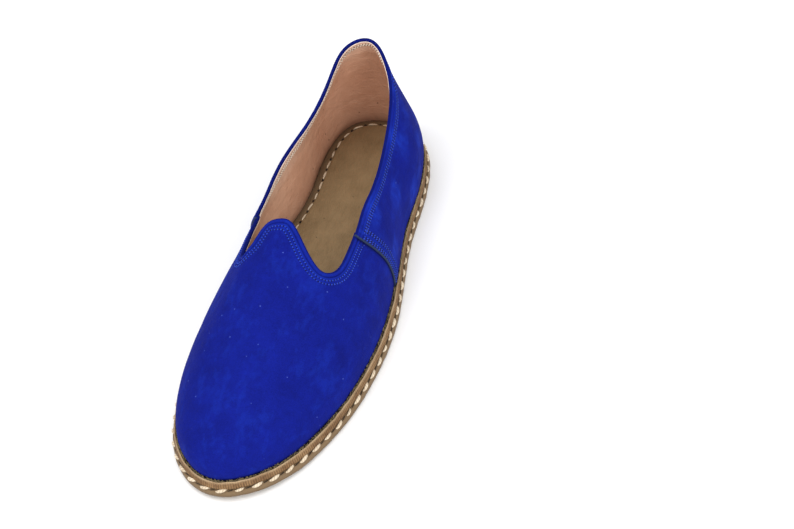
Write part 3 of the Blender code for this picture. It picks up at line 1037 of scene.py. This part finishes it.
def lining_sheet():
    columns = np.linspace(0, 1, LINING_COLUMNS, endpoint=False)
    rises = wall_rows(columns, LINING_ROWS, LINING_BODY_ROWS)
    column = np.broadcast_to(columns[:, None], rises.shape)
    below = depths_below(rises.shape, LINING_ROWS)
    base, normals, depth = lining_surface(column, rises, below)
    hidden_depth = depth - LINING_EDGE - (LINING_THICKNESS - LINING_EDGE) * smooth_step(below, 1.5, 2.2)
    face = base - normals * depth[..., None]
    hidden = base - normals * hidden_depth[..., None]
    foot = np.array([0, 0, LINING_FOOT])
    loop = np.concatenate([face[:, :1] - foot, face, hidden[:, ::-1], hidden[:, :1] - foot], axis=1)
    ones = np.ones((len(columns), 1))
    # The thin pale cut edge, and painted light that fades down from the top over about nine millimetres.
    edge = np.exp(-((below - LINING_TOP) / 0.45) ** 2) + 0.42 * np.exp(-below / 9.0) * (below < FAR_BELOW)
    height = base[..., 2] - base[:, :1, 2]
    # Painted shade, darkest where the lining meets the insole and along its stitch rows.
    lining_shade_mark = 0.5 * np.exp(-np.clip(height - 2.0, 0, None) / 2.0) + 0.40 * np.exp(-height / 14.0)
    lining_shade_mark = lining_shade_mark + 0.22 * ridges(below, LINING_STITCH_LINES, 0.35)
    edge = np.concatenate([0 * ones, edge, np.ones_like(edge), 0 * ones], axis=1)
    lining_shade_mark = np.concatenate([ones, lining_shade_mark, 0 * lining_shade_mark, ones], axis=1)
    marks = {"edge": np.clip(edge, 0, 1), "lining_shade_mark": np.clip(lining_shade_mark, 0, 1)}
    faces = loop_faces(len(columns), loop.shape[1], True)
    return piece_from("lining", loop, faces, marks, [LINING])


lining_sheet()

# %% [markdown]
# ## Insole, outsole and welt
#
# The insole is flat leather, a little sunk outside its own row of stitches and darkened there by painted shade
# towards the lining. The outsole's side rounds in towards the joint, where the big hand stitches lie in a
# groove. Above them the welt's cut side slopes in to a paler ridge, and inside the ridge a channel of painted
# shade runs against the upper. Their rings of points come in pairs, one on each side of the shoe, so that flat
# faces are strips straight across it.

# %% Rings and plates
HALF_RING = 240


def ring_places():
    """Places round the edge in pairs: the one at i is as far forward as the one at -i across the shoe."""
    start = np.argmax(edge_outline[:, 1]) / (EDGE_SAMPLES - 1)
    place = start + np.linspace(0, 1, EDGE_SAMPLES)
    y = station_at(place)[:, 1]
    heel = np.argmin(y)
    turn = np.pi * np.arange(1, HALF_RING) / HALF_RING
    wanted = (y[0] + y[heel]) / 2 + (y[0] - y[heel]) / 2 * np.cos(turn)
    medial = np.interp(-wanted, -y[: heel + 1], place[: heel + 1])
    lateral = np.interp(wanted, y[heel:], place[heel:])
    return np.concatenate([[place[0]], medial, [place[heel]], lateral[::-1]])


RING = ring_places()


def ring_points(places, sections):
    """Rings through (inset, height) sections, ring by ring."""
    return np.array([edge_ring(places, inset, height) for inset, height in sections])


def stack_faces(rings, count, closed=False):
    """Faces between rings that are stacked, and between the last and the first where closed."""
    faces = []
    for j in range(rings if closed else rings - 1):
        here = j * count
        after = (j + 1) % rings * count
        for i in range(count):
            k = (i + 1) % count
            faces.append((here + i, here + k, after + k, after + i))
    return faces


def across_faces(start, count):
    """Fills the ring that starts at this point with strips straight across the shoe."""
    faces = [(start, start + 1, start + count - 1)]
    for i in range(1, count // 2 - 1):
        faces.append((start + i, start + i + 1, start + count - i - 1, start + count - i))
    middle = start + count // 2
    return faces + [(middle - 1, middle, middle + 1)]


# %% The outsole
OUTSOLE_SIDE = (
    # inset, height, how much of the darker side colour it takes
    (6.0, 0.0, 0.0),
    (2.4, 0.0, 0.0),
    (1.5, 0.0, 0.5),
    (0.85, 0.05, 1.0),
    (0.4, 0.25, 1.0),
    (0.12, 0.7, 1.0),
    (0.0, 1.4, 1.0),
    (0.1, 2.2, 0.9),
    (0.3, 2.9, 0.85),
    (0.62, 3.5, 0.9),
    (1.05, 3.95, 1.0),
    (1.5, 4.2, 1.0),
    (2.2, OUTSOLE_TOP, 1.0),
    (6.0, OUTSOLE_TOP, 1.0),
)


SOLE_DENTS = ((0.10, 9, 21), (0.12, 40, 22))
SIDE_MIDDLE = 6


def outsole_piece():
    insets, heights, side = np.array(OUTSOLE_SIDE).T
    points = ring_points(RING, zip(insets, heights))
    uneven = outward(RING) * dents(points[SIDE_MIDDLE], SOLE_DENTS)[:, None]
    on_side = (heights > 0.1) & (heights < OUTSOLE_TOP - 0.1)
    points[on_side, :, :2] += uneven
    count = len(RING)
    faces = stack_faces(len(points), count) + across_faces(0, count)
    faces += across_faces((len(points) - 1) * count, count)
    return piece_from("outsole_leather", points, faces, {"side": side[:, None]}, [SOLE])


outsole = outsole_piece()
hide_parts("outsole")

# %% The welt, with the knife's marks on its side
WELT_COLUMNS = 2000
WELT_SECTION = (
    # inset, height, share of the crest's colour, share of the painted shade in the channel and at the foot,
    # how deep the knife marks are
    (9.8, 4.75, 0, 1, 0),
    (2.4, 4.75, 0, 1, 0),
    (1.75, 4.8, 0, 0.9, 0),
    (1.35, 5.2, 0, 0.35, 0.6),
    (1.3, 5.8, 0, 0, 1),
    (1.45, 6.6, 0, 0, 1),
    (1.68, 7.4, 0, 0, 1),
    (1.9, 8.2, 0.1, 0, 1),
    (1.98, 8.75, 0.4, 0, 0.7),
    (2.05, 9.2, 0.85, 0, 0.3),
    (2.22, 9.58, 1, 0, 0.1),
    (2.5, 9.62, 1, 0, 0),
    (2.75, 9.4, 0.6, 0.3, 0),
    (3.0, 9.0, 0.1, 0.85, 0),
    (3.3, 8.8, 0, 1, 0),
    (4.6, 8.7, 0, 1, 0),
    (9.8, 8.7, 0, 1, 0),
)
KNIFE_PITCH = 1.35
KNIFE_DEPTH = 0.13
RIDGE_FOOT = 1.9
EVEN_BELOW = 4.95
SIDE_DENTS = ((0.12, 8, 31),)
CREST_DENTS = ((0.16, 6, 33),)


def welt_inset(inset, around):
    """The ridge and its channel squeeze up against the upper where the quarters stand proud."""
    room = FOOT_INSET - RIDGE_FOOT
    squeezed = RIDGE_FOOT + (inset - RIDGE_FOOT) * (room - QUARTER_PROUD) / room
    share = in_quarters(around, *WELT_STEP) * (RIDGE_FOOT < inset < FOOT_INSET)
    return inset + (squeezed - inset) * share


def welt_piece():
    around = np.arange(WELT_COLUMNS) / WELT_COLUMNS
    along = around * SOLE_GIRTH
    insets, heights, crest, dark, cut = np.array(WELT_SECTION).T
    points = ring_points(around, zip([welt_inset(inset, around) for inset in insets], heights))
    out = outward(around)
    wander = 0.8 * np.sin(along / 31) + 0.5 * np.sin(along / 12.7)
    knife = np.sin(2 * np.pi * (along + wander) / KNIFE_PITCH)
    strength = 0.55 + 0.45 * np.sin(along / 7.3 + np.sin(along / 3.1))
    for j, ring in enumerate(points):
        shift = -KNIFE_DEPTH * cut[j] * knife * strength
        if heights[j] > EVEN_BELOW:
            shift = shift + dents(ring, SIDE_DENTS)
        ring[:, :2] += out * shift[:, None]
        if crest[j] > 0.3:
            ring[:, 2] += dents(ring, CREST_DENTS)
    marks = {
        "crest": np.clip(crest[:, None] * (0.8 + 0.2 * np.sin(along / 4.1)), 0, 1),
        # Painted shade in the channel against the upper and where the welt meets the outsole.
        "dark": dark[:, None],
        # Painted shade in the grooves of the knife marks.
        "cut": cut[:, None] * np.clip(0.5 + 0.5 * knife, 0, 1) ** 2 * 0.75,
    }
    faces = stack_faces(len(points), WELT_COLUMNS, closed=True)
    return piece_from("welt_strip", points, faces, marks, [WELT])


welt = welt_piece()
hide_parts("welt")

# %% The insole, lofted from its rim to the middle line
INSOLE_SECTION = (
    # inset from the lining, height, share of the rim's painted shade
    (0.0, 8.8, 1),
    (0.0, 11.2, 1),
    (0.5, 11.6, 1),
    (1.4, 11.75, 0.9),
    (2.6, 11.8, 0.75),
    (3.6, 11.85, 0.6),
    (4.2, 11.8, 0.55),
    (4.7, 11.75, 0.4),
    (5.3, 12.1, 0.12),
    (6.1, 12.3, 0),
    (8.0, 12.3, 0),
)
INSOLE_LOFTS = 12
INSOLE_DENTS = ((0.22, 34, 41), (0.07, 9, 42))
FIRST_ON_TOP = 3
RIM_GAP = 0.15
SAME_POINT = 0.00002


def insole_rim(around):
    return FOOT_INSET + WALL - QUARTER_PROUD * in_quarters(around, *WELT_STEP) - RIM_GAP


def insole_piece():
    rim = insole_rim(RING)
    insets, heights, rim_marks = np.array(INSOLE_SECTION).T
    rings = list(ring_points(RING, zip([rim + inset for inset in insets], heights)))
    edge = rings[-1]
    middle = (edge + edge[(-np.arange(len(RING))) % len(RING)]) / 2
    for share in np.arange(1, INSOLE_LOFTS + 1) / INSOLE_LOFTS:
        rings.append(edge * (1 - share) + middle * share)
    points = np.array(rings)
    points[FIRST_ON_TOP:, :, 2] += dents(points, INSOLE_DENTS)[FIRST_ON_TOP:]
    count = len(RING)
    faces = stack_faces(len(points), count) + across_faces(0, count)
    marks = {"rim": np.append(rim_marks, np.zeros(INSOLE_LOFTS))[:, None]}
    return piece_from(
        "insole_leather", points, faces, marks, [INSOLE], merged=SAME_POINT
    )


insole = insole_piece()
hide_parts("insole")

# %% [markdown]
# ## Threads
#
# Every stitch is a short spindle that rises from one hole and dives into the next, and a darker, flatter one
# is painted shade in the pit that its thread pulls into the leather. They all come from one function, which
# walks a path at an even pitch and lays a spindle on the surface there. Rows differ only in size, pitch and
# colour. Instances would be lighter, but one mesh for each row keeps its marks, and exports whole.

# %% Walking a path and laying stitches on it
SPINDLE_SIDES = 8


def even_places(points, pitch, start=0.5):
    """Where a walk along the points puts a mark at each pitch, as places in the list of points."""
    lengths = np.append(0.0, np.cumsum(np.linalg.norm(np.diff(points, axis=0), axis=1)))
    count = max(1, int(round(lengths[-1] / pitch)))
    wanted = (np.arange(count) + start) * lengths[-1] / count
    return np.interp(wanted, lengths, np.arange(len(points)))


def between(values, places):
    low = np.floor(places).astype(int)
    high = np.minimum(low + 1, len(values) - 1)
    share = (places - low)[:, None]
    return values[low] * (1 - share) + values[high] * share


def tube_faces(count, rings, sides):
    """Faces of many tubes, each a stack of rings with a flat cap at either end."""
    faces = []
    size = rings * sides
    for first in range(0, count * size, size):
        for here in range(first, first + size - sides, sides):
            for k in range(sides):
                j = (k + 1) % sides
                faces.append((here + k, here + j, here + sides + j, here + sides + k))
        faces.append(tuple(range(first, first + sides)))
        faces.append(tuple(range(first + size - sides, first + size)))
    return faces


def spindles(
    path, seed, pitch, length, width, proud, sunk, slant=0.0, rings=7, point=0.5, start=0.5, stray=0.05
):
    """Stitches along a path: each a spindle of this length and width whose middle stands proud."""
    points, normals = path
    places = even_places(points, pitch, start)
    centre = between(points, places)
    normal = unit(between(normals, places))
    ahead = between(points, np.minimum(places + 0.4, len(points) - 1))
    run = unit(square_to(normal, ahead - between(points, np.maximum(places - 0.4, 0))))
    side = np.cross(normal, run)
    random = np.random.default_rng(seed)
    count = len(places)
    tilt = slant + random.normal(0, stray, count)
    centre = centre + side * random.normal(0, stray * width / 2, count)[:, None]
    run, side = (
        run * np.cos(tilt)[:, None] + side * np.sin(tilt)[:, None],
        side * np.cos(tilt)[:, None] - run * np.sin(tilt)[:, None],
    )
    size = random.uniform(1 - 2 * stray, 1 + 2 * stray, (count, 1, 1))
    t = np.linspace(-1, 1, rings)[None, :, None]
    turned = np.arange(SPINDLE_SIDES)[None, None, :] / SPINDLE_SIDES
    angle = 2 * np.pi * turned - np.pi / 2
    thick = width / 2 * np.clip(1 - np.abs(t * 0.97) ** 2.2, 0, 1) ** point
    along = t * length / 2 * size
    across = thick * np.cos(angle) * size
    out = proud * (1 - t**2) - sunk * t**4 + 0.8 * thick * np.sin(angle) * size
    made = (
        centre[:, None, None]
        + run[:, None, None] * (along + 0 * across)[..., None]
        + side[:, None, None] * across[..., None]
        + normal[:, None, None] * out[..., None]
    )
    turn = np.broadcast_to(t * length / 2 / width * 0.7 + turned, made.shape[:-1])
    return made.reshape(-1, 3), tube_faces(count, rings, SPINDLE_SIDES), turn.ravel()


def thread_piece(name, rows, finish):
    """One piece from several rows of stitches."""
    points = np.concatenate([row[0] for row in rows])
    turns = np.concatenate([row[2] for row in rows])
    faces = []
    start = 0
    for row_points, row_faces, _ in rows:
        faces += [tuple(index + start for index in face) for face in row_faces]
        start += len(row_points)
    return piece_from(name, points, faces, {"turn": turns}, [finish])


# %% Fine stitches beside the topline and the seams
FINE_PITCH = 1.75
ROW_SAMPLES = 500
SEAM_SAMPLES = 160
FINE_SEED = 50
VAMP_ROW = (LATERAL_SEAM - 1 + 0.004, MEDIAL_SEAM - 0.004)
QUARTER_ROW = (MEDIAL_SEAM + 0.006, LATERAL_SEAM - 0.006)
SEAM_ROW_LOW = 0.02
SEAM_ROW_HIGH = 0.93

FINE = dict(pitch=FINE_PITCH, length=1.2, width=0.85, proud=0.2, sunk=0.35, rings=5)
# PIT and DEEP size the flat plugs of painted shade in the stitch holes.
PIT = dict(pitch=FINE_PITCH, length=0.85, width=0.8, proud=0.06, sunk=0.1, rings=4, start=0.0)
LONG = {**FINE, "pitch": 2.0, "length": 1.75}
DEEP = {**PIT, "pitch": 2.0, "length": 1.35, "width": 0.95, "proud": 0.1}


def topline_path(first, last, below, proud):
    """The path of a row of stitches at this distance below the topline."""
    columns = np.linspace(first, last, ROW_SAMPLES)
    rises = rises_below(columns, [below])[:, 0]
    points, normals = dented_surface(columns, rises)
    cord, lines = (QUARTER_CORD, QUARTER_LINES) if proud else (VAMP_CORD, STITCH_LINES)
    return points + normals * (proud + edging_relief(np.array(below), cord, lines))[..., None], normals


def seam_path(seam, side, behind):
    """The path of a row of stitches at this distance behind a side seam."""
    rises = np.linspace(SEAM_ROW_LOW, SEAM_ROW_HIGH, SEAM_SAMPLES)
    columns = np.full(rises.shape, seam)
    for _ in range(4):
        found = behind_seams(columns + side * 1e-5, rises)
        step = behind_seams(columns + side * 1e-3, rises) - found
        columns = columns + side * (behind - found) / step * 1e-3
    points, normals = dented_surface(columns, rises)
    return points + normals * (QUARTER_PROUD + seam_relief(np.array(behind)))[..., None], normals


def fine_paths():
    """Each row of fine stitches: its path, how its stitches slant, and the sizes of stitch and pit."""
    for line in STITCH_LINES:
        yield topline_path(*VAMP_ROW, line, 0.0), 0.2, FINE, PIT
    for line in QUARTER_LINES:
        yield topline_path(*QUARTER_ROW, line, QUARTER_PROUD), 0.55, LONG, DEEP
    for seam, side in ((MEDIAL_SEAM, 1), (LATERAL_SEAM, -1)):
        for behind in SEAM_LINES:
            yield seam_path(seam, side, behind), 0.45, LONG, DEEP


stitch_rows = []
pit_shade_rows = []
for number, (path, slant, stitch, pit) in enumerate(fine_paths(), FINE_SEED):
    stitch_rows.append(spindles(path, number, slant=slant, **stitch))
    pit_shade_rows.append(spindles(path, number, slant=slant, **pit))
thread_piece("fine_stitches", stitch_rows, BLUE_THREAD)
thread_piece("stitch_hole_shades", pit_shade_rows, STITCH_HOLE_SHADE)

# %% The pale double row inside the collar
LINING_SEED = 80
PALE = dict(pitch=FINE_PITCH, length=1.4, width=0.95, proud=0.28, sunk=0.3, slant=0.3, rings=5)

stitch_rows = []
pit_shade_rows = []
for number, line in enumerate(LINING_STITCH_LINES, LINING_SEED):
    columns = np.linspace(*QUARTER_ROW, ROW_SAMPLES)
    rises = rises_below(columns, [line])[:, 0]
    base, base_normals, depth = lining_surface(columns, rises, np.full(columns.shape, line))
    path = (base - base_normals * depth[..., None], -base_normals)
    stitch_rows.append(spindles(path, number, **PALE))
    pit_shade_rows.append(spindles(path, number, **PIT))
thread_piece("lining_stitches", stitch_rows, LINING_THREAD)
thread_piece("lining_hole_shades", pit_shade_rows, LINING_HOLE_SHADE)

# %% The hand stitches of the insole and of the sole
INSOLE_PITCH = 9.0
INSOLE_STITCH_INSET = 4.55
INSOLE_STITCH_HEIGHT = 11.85
INSOLE_HOLE_HEIGHT = 11.8
SOLE_PITCH = 9.5
SOLE_STITCH_INSET = 1.0
SOLE_STITCH_HEIGHT = 4.4
SOLE_STITCH_TILT = 58
SOLE_SLANT = 0.2
RING_SAMPLES = 1600

INSOLE_STITCH = dict(pitch=INSOLE_PITCH, length=6.9, width=1.15, proud=0.25, sunk=0.7)
# Sizes of the plugs of painted shade in the awl holes.
INSOLE_HOLE = dict(pitch=INSOLE_PITCH, length=1.9, width=1.35, proud=0.12, sunk=0.3, start=0.0)
SOLE_STITCH = dict(pitch=SOLE_PITCH, length=6.6, width=1.8, proud=0.45, sunk=1.1, slant=SOLE_SLANT)
SOLE_HOLE = {**SOLE_STITCH, "length": 3.1, "width": 0.5, "proud": -0.1, "sunk": 0.2, "start": 0.0}
INSOLE_SEEDS = (90, 92)
SOLE_SEEDS = (91, 93)

ring_around = np.linspace(0, 1, RING_SAMPLES)
insole_inset = insole_rim(ring_around) + INSOLE_STITCH_INSET


def ring_path(inset, height, tilt):
    """A path round the shoe, and normals that lean outwards by tilt degrees from straight up."""
    lean = np.radians(tilt)
    normals = level_outward(ring_around) * np.sin(lean) + np.array([0, 0, 1.0]) * np.cos(lean)
    return edge_ring(ring_around, inset, height), normals


insole_path = ring_path(insole_inset, INSOLE_STITCH_HEIGHT, 0)
insole_row = spindles(insole_path, INSOLE_SEEDS[0], rings=11, point=0.8, stray=0.07, **INSOLE_STITCH)
thread_piece("insole_stitches", [insole_row], HAND_THREAD)

sole_path = ring_path(SOLE_STITCH_INSET, SOLE_STITCH_HEIGHT, SOLE_STITCH_TILT)
sole_row = spindles(sole_path, SOLE_SEEDS[0], rings=13, point=0.9, stray=0.08, **SOLE_STITCH)
thread_piece("sole_stitches", [sole_row], HAND_THREAD)

# %% [markdown]
# ## Awl holes and frayed fibres
#
# Between two hand stitches the thread dives into a hole that the awl made, dark inside and a little torn.
# Along the channel, ends of the leather's fibres stand up against the nubuck. Both are small, but they are
# what tells a hand-sewn sole from a moulded one. Holes could be cut with Booleans, but well over a hundred
# cuts would be slow, and a rounded plug of painted shade in the groove looks the same.

# %% The awl holes
hole_shade_rows = [
    spindles(ring_path(insole_inset, INSOLE_HOLE_HEIGHT, 0), INSOLE_SEEDS[1], **INSOLE_HOLE),
    spindles(sole_path, SOLE_SEEDS[1], **SOLE_HOLE),
]
thread_piece("hole_shades", hole_shade_rows, AWL_HOLE_SHADE)

# %% Fibres in the channel
FIBRE_COUNT = 2800
FIBRE_RINGS = 5
FIBRE_SIDES = 5
FIBRE_SEED = 17
CHANNEL_HEIGHT = 8.8
CHANNEL_REACH = (0.15, 1.4)
FIBRE_LENGTH = (0.6, 2.2)
FIBRE_THICKNESS = (0.09, 0.22)


def fibre_tufts():
    """Short bent fibres that stand in the channel between the welt's crest and the nubuck."""
    random = np.random.default_rng(FIBRE_SEED)
    around = np.sort(random.uniform(0, 1, FIBRE_COUNT))
    foot = FOOT_INSET - QUARTER_PROUD * in_quarters(around, *WELT_STEP)
    centre = edge_ring(around, foot - random.uniform(*CHANNEL_REACH, FIBRE_COUNT), CHANNEL_HEIGHT)
    level = level_outward(around)
    run = np.cross([0, 0, 1.0], level)
    lean = random.normal(0, 0.9, (FIBRE_COUNT, 1))
    way = unit(run * lean + level * random.normal(-0.15, 0.25, (FIBRE_COUNT, 1)) + [0, 0, 0.75])
    side = unit(np.cross(way, level))
    other = np.cross(way, side)
    length = random.uniform(*FIBRE_LENGTH, (FIBRE_COUNT, 1))
    thick = random.uniform(*FIBRE_THICKNESS, (FIBRE_COUNT, 1))
    t = np.linspace(0, 1, FIBRE_RINGS)[None, :]
    angle = 2 * np.pi * np.arange(FIBRE_SIDES)[None, :, None] / FIBRE_SIDES
    radius = thick * (1 - 0.75 * t**1.5)
    bend = random.normal(0, 0.35, (FIBRE_COUNT, 1)) * t**2 * length
    spine = centre[:, None] + way[:, None] * (t * length)[..., None] + run[:, None] * bend[..., None]
    ring = side[:, None] * np.cos(angle) + other[:, None] * np.sin(angle)
    points = spine[:, :, None] + ring[:, None] * radius[:, :, None, None]
    faces = tube_faces(FIBRE_COUNT, FIBRE_RINGS, FIBRE_SIDES)
    return piece_from("channel_fibres", points, faces, {"turn": t[..., None]}, [FIBRE])


fibre_tufts()

# %% [markdown]
# ## Floor and light
#
# The shoe stands on a pale floor in soft studio light. A large lamp high above, in front and to the inner
# side, gives the soft shadows. A weaker one in front, to the outer side, fills them, and the pale world
# lights the rest. A small lamp would cut hard shadows that the photograph doesn't have.

# %% The floor
FLOOR_SIZE = 6.0
half_floor = FLOOR_SIZE / 2
floor_mesh = bpy.data.meshes.new("floor")
corners = [(x * half_floor, y * half_floor, 0) for x, y in ((-1, -1), (1, -1), (1, 1), (-1, 1))]
floor_mesh.from_pydata(corners, [], [(0, 1, 2, 3)])
floor_mesh.materials.append(Finish("pale_floor", 0.6).finish((0.92, 0.92, 0.92)))
floor = put_in_scene("floor", floor_mesh)

# %% The lights
LAMPS = (
    # name, place, aim, size, power
    ("key", (0.6, 0.5, 1.95), (0, 0, 0), 1.7, 26),
    ("fill", (-1.3, 1.1, 1.3), (0, 0, 0.02), 1.3, 22),
)
for name, place, aim, size, power in LAMPS:
    lamp = bpy.data.lights.new(name, "AREA")
    lamp.size = size
    lamp.energy = power
    aim_at(put_in_scene(name, lamp), place, aim)

world = bpy.data.worlds.new("studio")
world.use_nodes = True
backdrop = world.node_tree.nodes["Background"]
backdrop.inputs["Color"].default_value = (1.0, 1.0, 1.0, 1.0)
backdrop.inputs["Strength"].default_value = 0.75
bpy.context.scene.world = world
bpy.context.scene.view_settings.view_transform = "Standard"
bpy.context.scene.view_settings.look = "None"
print("lights:", [row[0] for row in LAMPS])
